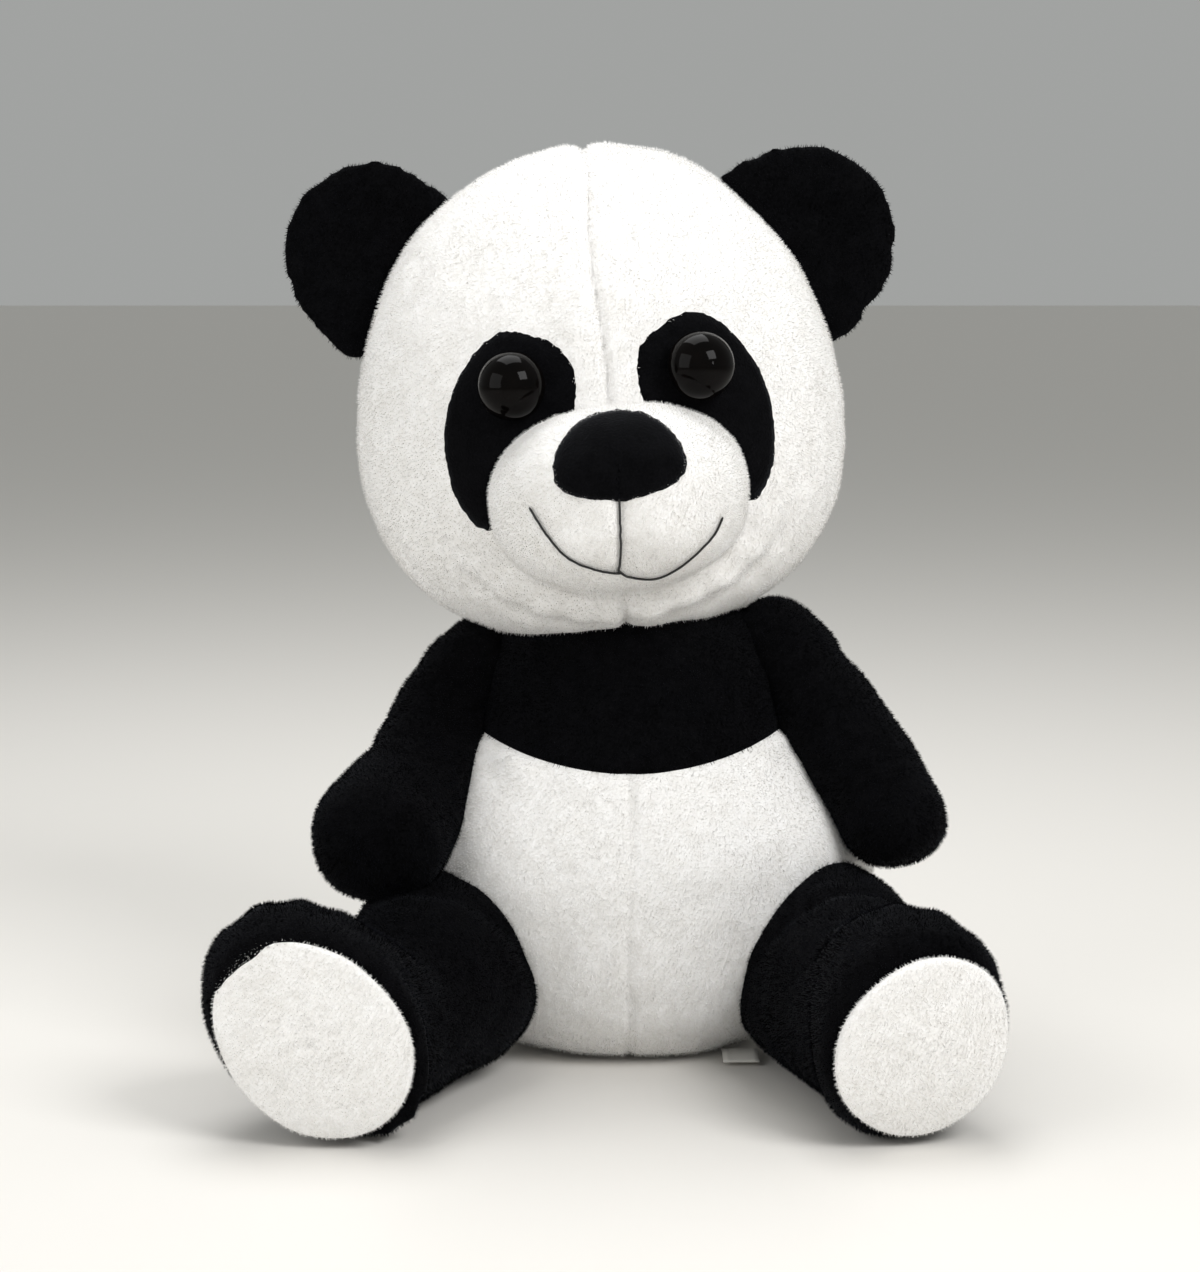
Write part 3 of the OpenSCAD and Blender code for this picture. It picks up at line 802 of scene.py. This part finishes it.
def makeMouth():
    def above(x, z):
        hit, normal = onFace(x, z, muzzleTree)
        return hit + normal * mouthSpec["proud"] * mm

    smile = [above(x, z) for x, z in smilePath]
    (_, dropTop), (_, dropEnd) = mouthSpec["drop"]
    drop = [above(dropX(z), z) for z in np.linspace(dropTop, dropEnd, 24)]
    return stitches("mouthThread", [smile, drop], mouthSpec["spacing"], mouthSpec["stitch"],
                    mouthSpec["thread"], blackThread)


nose = makeNose()
patches = {side: makePatch(side) for side in (1, -1)}
mouth = makeMouth()
finish(head, "head", ("head_front_left", "head_front_right", "head_back_left",
                                     "head_back_right", "head_stuffing"), whitePlush)
finish(muzzle, "head", ("muzzle", "muzzle_stuffing"), whitePlush)
finish(nose, "head", ("nose",), blackPlush)
finish(mouth, "head", ("mouth_stitching",))
for side, word in ((1, "left"), (-1, "right")):
    finish(patches[side], "head", ("eye_patch_" + word,), blackPlush)
    setMaterial(frame["nodes"]["eye_" + word], eyeAcrylic)
    setMaterial(frame["nodes"]["eye_washer_" + word], washerNylon)
print("face made")


# Ears

earSpec = {"halfWide": 32.0, "high": 38.0, "thick": 9.0, "cup": 6.0, "sink": 9.0,
           "inner": {1: 1.0, -1: 0.84}, "angle": {1: 30.5, -1: 38.5}, "root": 71.9, "back": 4.0}


def makeEar(side):
    # A cupped disc: u runs along the root, height out of the head and w through the thickness
    word = "left" if side > 0 else "right"
    name = "ear" + word.capitalize()
    spec = earSpec
    angle = math.radians(spec["angle"][side])
    out = Vector((side * math.cos(angle), 0, math.sin(angle)))
    along = Vector((-side * math.sin(angle), 0, math.cos(angle)))
    origin = out * spec["root"] + Vector((0, spec["back"], 0))
    rows, cols = 20, 40
    rings = []
    for i in range(rows + 1):
        v = i / rows
        height = -spec["sink"] + (spec["high"] + spec["sink"]) * v
        rise = max(0.0, height / spec["high"])
        wide = spec["halfWide"] * max(0.02, 1 - rise ** 2.2) ** (1 / 2.1)
        if height < 0:
            wide *= 1 + 0.006 * height
        thick = spec["thick"] / 2 * max(0.05, 1 - rise ** 4) ** 0.5
        ring = []
        for a in np.linspace(0, 2 * math.pi, cols, endpoint=False):
            u = wide * math.cos(a)
            if u > 0:
                u *= spec["inner"][side] + (1 - spec["inner"][side]) * min(1, rise)
            w = thick * math.sin(a) * (1 - (0.25 * abs(math.cos(a)) ** 3))
            dish = spec["cup"] * (1 - (u / spec["halfWide"]) ** 2) * (1 - abs(2 * rise - 0.9) ** 2 * 0.6)
            bend = -4.5 * (u / spec["halfWide"]) ** 2
            p = origin + along * u + out * height + Vector((0, 1, 0)) * (w + dish + bend)
            ring.append(np.array(headFrame @ (p * mm)))
        rings.append(ring)
    if side < 0:
        rings = [r[::-1] for r in rings]
    ear = loft(name, rings)
    puffUp(ear, voxel=2.2, pressure=1.5, cap=0.8, levels=1)

    def shape(co, no):
        p = toHead(co) - np.array(origin)
        u = p @ np.array(along)
        v = p @ np.array(out)
        edge = np.abs(np.sqrt((u / spec["halfWide"]) ** 2 + np.clip(v / spec["high"], 0, 2) ** 2) - 1)
        gathers = 0.5 * np.sin(u / 2.6) * np.exp(-((v - 2) / 7) ** 2)
        return gathers + 0.8 * lumps(co, 13, 5 + side) + groove(edge, 0.03, 0.5)

    sculpt(ear, shape)
    joint = joints["ear_" + word + "_fold"]
    start = np.array(headFrame @ ((origin - out * 1.0) * mm))
    end = np.array(headFrame @ ((origin + out * 12.0) * mm))
    body = ("head", joint["child"], tuple(start), tuple(end))
    finish(ear, body, ("ear_front_" + word, "ear_back_" + word), blackPlush)
    return ear, body


ears = {side: makeEar(side) for side in (1, -1)}
print("ears made")


# Torso

torsoSpec = {
    # height, half width, front, back, in mm
    "rows": [(0.5, 40, 34, 34), (14, 61, 48, 48), (32, 69, 54, 54), (50, 76.5, 56, 56),
             (68, 77, 55, 54), (86, 65, 49.5, 48), (103, 52.5, 44, 42), (118, 48, 40, 37),
             (132, 41, 35, 32), (143, 24, 22, 20)],
    "band": 92.3, "bandRise": 0.0043,
}


def bandHeight(x):
    return torsoSpec["band"] + torsoSpec["bandRise"] * x * x


def makeTorso():
    t = np.linspace(0, 1, 40)
    rows = through(torsoSpec["rows"], t)
    rings = []
    for z, wide, front, back in rows:
        a = np.linspace(0, 2 * math.pi, 56, endpoint=False)
        deep = np.where(np.cos(a) > 0, front, back)
        rings.append(np.stack([wide * np.sin(a), -deep * np.cos(a), np.full(56, z)], axis=1) * mm)
    torso = loft("torso", rings)

    def pins(co):
        centre = np.exp(-(co[:, 0] / 4) ** 2)
        band = np.exp(-((co[:, 2] - bandHeight(co[:, 0])) / 4) ** 2)
        return np.maximum(np.maximum(centre, band), (co[:, 2] < 4).astype(float))

    puffUp(torso, voxel=4.5, pressure=4, cap=2.5, pinned=pins)

    def shape(co, no):
        x, y, z = co.T
        low = z < bandHeight(x)
        centre = groove(np.abs(x - 0.5 * np.sin(z / 9)), 1.5, 1.1) * low
        band = groove(np.abs(z - bandHeight(x)), 2.2, 1.3)
        tucks = 0.5 * np.sin(x / 3.1) * np.exp(-((z - bandHeight(x) + 5) / 5) ** 2) * low
        sideSeam = groove(np.abs(y - 2), 1.5, 0.8)
        return centre + band + tucks + sideSeam + 0.9 * lumps(co, 26, 7) + 0.35 * lumps(co, 9, 8)

    sculpt(torso, shape)
    keepAboveFloor(torso)
    return torso


def cutTorso(torso, name, keepAbove):
    piece = bpy.data.objects.new(name, torso.data.copy())
    scene.collection.objects.link(piece)
    shape = bmesh.new()
    shape.from_mesh(piece.data)
    for v in shape.verts:
        v.co.z -= bandHeight(v.co.x / mm) * mm
    cut = bmesh.ops.bisect_plane(
        shape, geom=shape.verts[:] + shape.edges[:] + shape.faces[:], plane_co=(0, 0, 0), plane_no=(0, 0, 1),
        clear_inner=keepAbove, clear_outer=not keepAbove)
    rim = [e for e in cut["geom_cut"] if isinstance(e, bmesh.types.BMEdge)]
    middle = shape.verts.new((0, 0, 0))
    for edge in rim:
        shape.faces.new((edge.verts[0], edge.verts[1], middle))
    bmesh.ops.recalc_face_normals(shape, faces=shape.faces[:])
    for v in shape.verts:
        v.co.z += bandHeight(v.co.x / mm) * mm
    shape.to_mesh(piece.data)
    shape.free()
    piece.data.shade_smooth()
    return piece


torso = makeTorso()
chest = cutTorso(torso, "chestAndUpperBack", True)
belly = cutTorso(torso, "bellyAndLowerBack", False)
bpy.data.objects.remove(torso)
finish(chest, "torso", ("chest_panel", "upper_back_left", "upper_back_right"),
       blackPlush)
finish(belly, "torso", ("belly_left", "belly_right", "lower_back_left", "lower_back_right",
                                       "seat_panel", "torso_stuffing", "pellet_bag"), whitePlush)

neckRadius = 11.5     # mm
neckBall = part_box("neck_stuffing")
neckMiddle = (neckBall[0] + neckBall[1]) / 2


def makeNeck():
    # The filling where the head meets the torso, hidden under the chin
    a = np.linspace(0, 2 * math.pi, 24, endpoint=False)
    rings = []
    for rise in np.linspace(-1.45, 1.45, 14):
        r = neckRadius * math.cos(rise)
        ring = np.stack([r * np.cos(a), r * np.sin(a), np.full(24, neckRadius * math.sin(rise))], axis=1)
        rings.append(ring * mm + np.array(neckMiddle))
    neck = loft("neckFill", rings)
    smoothed(neck, 1)
    sculpt(neck, lambda co, no: 0.8 * lumps(co, 4, 9))
    return finish(neck, "neck", ("neck_stuffing",), fibreFill)


makeNeck()
print("torso made")


# Arms

armSpec = {
    1: {"name": "armLeft", "joint": "shoulder_left_lift", "word": "left",
        "stations": [(34, 2, 131, 12, 14, 0), (45, -2, 124, 16, 17, 0), (55.5, -8, 111.5, 16.6, 16.5, 0),
                     (66, -16, 98.5, 16.2, 16, 0), (75, -23, 85, 16.5, 16, 0), (81, -27, 73, 16.5, 16, 0),
                     (85, -30, 60.5, 12, 12, 0)]},
    -1: {"name": "armRight", "joint": "shoulder_right_lift", "word": "right",
         "stations": [(-34, 2, 127, 12, 14, 0), (-45, -2, 119, 16, 17, 0), (-54.5, -7, 107, 17, 17, 0),
                      (-60.5, -16, 94, 18, 17.5, 0), (-66.5, -28, 82.5, 19.2, 18.5, 0),
                      (-73.5, -41, 75, 21, 20, 0), (-76, -53, 71, 19.5, 18.5, 0),
                      (-76.5, -61, 69, 12, 12, 0)]},
}


def makeArm(side):
    spec = armSpec[side]
    arm = sweep(spec["name"], spec["stations"], (0, 1, 0), roundStart=0.1, roundEnd=0.12)
    puffUp(arm, voxel=3.2, pressure=2, cap=1.0, levels=2)

    def shape(co, no):
        path = np.array(spec["stations"])[:, :3]
        lean = path[-1] - path[1]
        lean /= np.linalg.norm(lean)
        reach = (co - path[1]) @ lean
        folds = 0.45 * np.sin(reach / 2.7 + 2 * lumps(co, 14, 2)) * np.exp(-((reach - 8) / 12) ** 2)
        change = folds + 0.9 * lumps(co, 16, 11 + side)
        if side < 0:
            # The crook of the bent elbow
            crook = lineDistance(co, [(-80, -22, 96), (-66, -31, 99), (-52, -26, 92)])
            crease = lineDistance(co, [(-82, -16, 104), (-70, -22, 106), (-54, -20, 100)])
            change = change + groove(crook, 3.2, 2.6)
            change = change + groove(crease, 2.6, 1.0)
        return change

    sculpt(arm, shape)
    joint = joints[spec["joint"]]
    pivot = Vector(joint["pos_m"])
    tip = Vector(spec["stations"][-2][:3]) * mm
    way = (tip - pivot).normalized()
    body = ("torso", joint["child"], tuple(pivot - way * 14 * mm), tuple(pivot + way * 16 * mm))
    word = spec["word"]
    finish(arm, body, ("arm_outer_" + word, "arm_inner_" + word, "arm_stuffing_" + word),
           blackPlush)
    return arm, body


arms = {side: makeArm(side) for side in (1, -1)}
print("arms made")


# Legs

legSpec = {
    1: {"name": "legLeft", "joint": "hip_left_drop", "word": "left", "sole": (24.6, 27.0),
        "stations": [(41, -8, 33, 21, 26, 20), (53, -25, 33.5, 23.5, 30, 26), (62, -48, 30.5, 24, 31, 28),
                     (69, -73, 28.5, 24, 28.5, 16), (74, -91, 31, 25, 31.5, 6),
                     (76.5, -104, 32, 26.4, 33, 10), (78.5, -112, 30.5, 27.5, 31, 20),
                     (79.7, -116.5, 30, 24, 26.5, 26)]},
    -1: {"name": "legRight", "joint": "hip_right_drop", "word": "right", "sole": (25.2, 31.0),
         "stations": [(-36, -8, 32, 20, 23, 20), (-48, -26, 32, 25, 28, 32), (-58, -50, 31.5, 24.5, 31, 36),
                      (-69.5, -74, 23.5, 23, 23.5, 36), (-82, -92, 29, 26, 31.5, 42),
                      (-87, -104, 32.8, 27.4, 37.5, 44), (-88.2, -112, 32.8, 28, 36, 42),
                      (-88.3, -116.5, 32, 24.6, 30.5, 42)]},
}
soleProud = 3.3     # mm that the sole's middle stands past the end of the leg
footEdge = -114     # y in mm, past which the foot is sewn to its sole and stays put


def soleFrame(side):
    # The middle of the sole and the directions out of it, across it and up it
    stations = legSpec[side]["stations"]
    last, before = (np.array(s[:3], float) for s in (stations[-1], stations[-3]))
    out = (last - before) / np.linalg.norm(last - before)
    across = np.cross(np.array([0, 0, 1.0]), out)
    across /= np.linalg.norm(across)
    rise = np.cross(out, across)
    lean = math.radians(stations[-1][5]) * side
    return (last + soleProud * out, out, across * math.cos(lean) - rise * math.sin(lean),
            rise * math.cos(lean) + across * math.sin(lean))


def makeLeg(side):
    spec = legSpec[side]
    leg = sweep(spec["name"], spec["stations"], (0, 0, 1), outward=side, roundStart=0.12,
                rings=44, around=48)
    puffUp(leg, voxel=3.6, pressure=2.5, cap=1.2, levels=2,
           pinned=lambda co: (co[:, 1] < footEdge).astype(float))
    end = np.array(spec["stations"][-1][:3], float)

    def shape(co, no):
        x, y, z = co.T
        change = (1.0 * lumps(co, 20, 21 + side) + 0.35 * lumps(co, 8, 3)) * np.clip((y + 116) / 8, 0, 1)
        # Gathers where the instep is drawn into the foot
        top = np.clip((z - 40) / 14, 0, 1)
        change = change + 0.6 * np.sin(x / 1.9) * top * np.exp(-((y + 100) / 9) ** 2)
        topSeam = lineDistance(co, [(end[0] - 3, -86, 66), (end[0] - 1, -104, 68), (end[0], -117, 60)])
        change = change + groove(topSeam, 1.6, 1.0)
        change = change + groove(np.abs(y + 84 + 0.25 * (z - 50)), 3.0, 1.1) * top
        # Folds of the thigh against the belly
        change = change + groove(np.abs(y + 44 + 0.2 * z), 3.5, 0.9) * np.clip((z - 25) / 20, 0, 1)
        return change

    sculpt(leg, shape)
    keepAboveFloor(leg)
    joint = joints[spec["joint"]]
    pivot = Vector(joint["pos_m"])
    way = (Vector(spec["stations"][4][:3]) * mm - pivot).normalized()
    body = ("torso", joint["child"], tuple(pivot - way * 8 * mm), tuple(pivot + way * 26 * mm))
    word = spec["word"]
    finish(leg, body, ("leg_upper_" + word, "leg_lower_" + word, "leg_stuffing_" + word),
           blackPlush)
    return leg, body


def makeSole(side):
    spec = legSpec[side]
    last, out, across, rise = soleFrame(side)
    halfWide, halfHigh = spec["sole"]
    rings = []
    profile = [(share, -3.0) for share in np.linspace(0.1, 0.97, 6)]
    profile += [(1.0, -1.2), (1.0, 0.0)]
    profile += [(share, 0.6 + 2.6 * (1 - share ** 2)) for share in np.linspace(0.985, 0.06, 12)]
    for share, lift in profile:
        a = np.linspace(0, 2 * math.pi, 56, endpoint=False)[:, None]
        egg = 1 - 0.05 * np.sin(a)
        flat = halfWide * egg * np.cos(a) * across + halfHigh * np.sin(a) * rise
        ring = last + out * lift + share * flat
        rings.append(ring * mm)
    sole = loft("soleLeft" if side > 0 else "soleRight", rings)
    smoothed(sole, 1)
    sculpt(sole, lambda co, no: 0.5 * lumps(co, 14, 31 + side))
    co = coords(sole)
    co[:, 2] = np.maximum(co[:, 2], 1.0 * mm)     # clear of the floor
    setCoords(sole, co)
    joint = joints[spec["joint"]]
    finish(sole, joint["child"], ("sole_" + spec["word"],), whitePlush)
    return sole


legs = {side: makeLeg(side) for side in (1, -1)}
soles = {side: makeSole(side) for side in (1, -1)}
print("legs made")


# Label

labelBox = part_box("care_label")


def makeLabel():
    # A thin blank tape that curls up a little from the floor
    low, high = labelBox
    x0, y0, z0 = low.x, high.y, low.z
    rows, cols = 10, 6
    front, back = [], []
    for i in range(rows + 1):
        for j in range(cols + 1):
            s, u = i / rows, j / cols
            curl = 0.6 + 1.5 * math.sin(s * 3) * (0.6 + 0.4 * u)
            point = Vector((x0 + (high.x - x0) * u, y0 + (low.y - y0) * s, z0 + curl * mm))
            front.append(point)
            back.append(point - Vector((0, 0, 0.35 * mm)))
    faces = []
    n = (rows + 1) * (cols + 1)
    for i in range(rows):
        for j in range(cols):
            a = i * (cols + 1) + j
            b, c, d = a + 1, a + cols + 2, a + cols + 1
            faces += [(a, d, c, b), (n + a, n + b, n + c, n + d)]
    rim = list(range(cols + 1)) + [i * (cols + 1) + cols for i in range(1, rows + 1)]
    rim += [rows * (cols + 1) + j for j in range(cols - 1, -1, -1)]
    rim += [i * (cols + 1) for i in range(rows - 1, 0, -1)]
    for a, b in zip(rim, rim[1:] + rim[:1]):
        faces.append((a, b, n + b, n + a))
    label = makeObject("careLabel", front + back, faces)
    shape = bmesh.new()
    shape.from_mesh(label.data)
    bmesh.ops.recalc_face_normals(shape, faces=shape.faces[:])
    shape.to_mesh(label.data)
    shape.free()
    label.data.shade_smooth()
    setMaterial(label, labelTape)
    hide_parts("care_label")
    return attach(label, "torso")


makeLabel()
print("label made")


# Pile on every plush piece

def inside(outline, x, z, margin=0.0):
    # Whether a point lies in a closed outline, drawn in by margin mm
    middle = outline.mean(axis=0)
    o = middle + (outline - middle) * (1 - margin / np.linalg.norm(outline - middle, axis=1))[:, None]
    nxt = np.roll(o, -1, axis=0)
    cross = (o[:, 1] > z) != (nxt[:, 1] > z)
    at = o[:, 0] + (z - o[:, 1]) * (nxt[:, 0] - o[:, 0]) / np.where(cross, nxt[:, 1] - o[:, 1], 1)
    return bool(np.sum(cross & (x < at)) % 2)


def inMuzzle(x, z, margin):
    halfX, halfZ = muzzleSpec["half"]
    u = abs(x - muzzleSpec["middle"][0]) / (halfX - margin)
    v = abs(z - muzzleSpec["middle"][1]) / (halfZ - margin)
    return u ** muzzleSpec["square"] + v ** muzzleSpec["square"] < 1


def onHeadFront(p):
    q = headBack @ (p * mm) / mm
    covered = inMuzzle(q.x, q.z, 1.5) or inside(patchOutline, abs(q.x), q.z, 0.2)
    return q.y < headSpec["sideSeam"] and not (q.y < -20 and covered)


def offSole(side):
    # Leaves the leg bare where the sole covers it
    last, out, across, rise = (Vector(v) for v in soleFrame(side))
    wide, high = legSpec[side]["sole"]

    def test(p):
        q = p - last
        covered = q.dot(out) > -4 and (q.dot(across) / wide) ** 2 + (q.dot(rise) / high) ** 2 < 0.92
        return p.z > 0.8 and not covered

    return test


def onPatch(p):
    q = headBack @ (p * mm) / mm
    return not inMuzzle(q.x, q.z, 1.0)


def onMuzzleFront(p):
    q = headBack @ (p * mm) / mm
    if q.y > -50 or inside(noseOutline, q.x, q.z, 1.0):
        return False
    nearSmile = np.min(np.linalg.norm(smilePath - (q.x, q.z), axis=1)) < 0.7
    nearDrop = abs(q.x - dropX(q.z)) < 0.7 and -47.5 < q.z < -24
    return not (nearSmile or nearDrop)


growPile(head, "headPileFront", "head", "white_plush", keep=onHeadFront)
growPile(head, "headPileBack", "head", "white_plush",
         keep=lambda p: (headBack @ (p * mm)).y >= headSpec["sideSeam"] * mm)
growPile(muzzle, "muzzlePile", "head", "white_plush", keep=onMuzzleFront,
         Length=0.9 * mm, Density=2e6, Clump=0.9)
growPile(nose, "nosePile", "head", "black_plush", Length=1.0 * mm, Density=2.6e6, Stand=1.0, Stray=0.5)
for side, word in ((1, "Left"), (-1, "Right")):
    growPile(patches[side], "eyePatchPile" + word, "head", "black_plush", keep=onPatch,
             Length=1.0 * mm, Density=2.6e6, Stray=0.5)
    growPile(ears[side][0], "earPile" + word, ears[side][1], "black_plush", Density=1.8e6)
    growPile(arms[side][0], "armPile" + word, arms[side][1], "black_plush", Density=1.8e6)
    growPile(legs[side][0], "legPile" + word, legs[side][1], "black_plush", keep=offSole(side),
             Density=1.6e6, Comb=(0, -0.3, -0.15))
    growPile(soles[side], "solePile" + word, joints[legSpec[side]["joint"]]["child"], "white_plush",
             keep=lambda p: p.z > 1.5, Length=0.9 * mm, Density=2e6, Clump=0.9)
growPile(chest, "chestPile", "torso", "black_plush", Density=1.8e6,
         keep=lambda p: p.z > bandHeight(p.x) + 0.3 and p.z < 140)
growPile(belly, "bellyPile", "torso", "white_plush",
         keep=lambda p: 1 < p.z < bandHeight(p.x) - 0.3 and (abs(p.x) > 12 or abs(p.y) > 12))
print("pile grown")
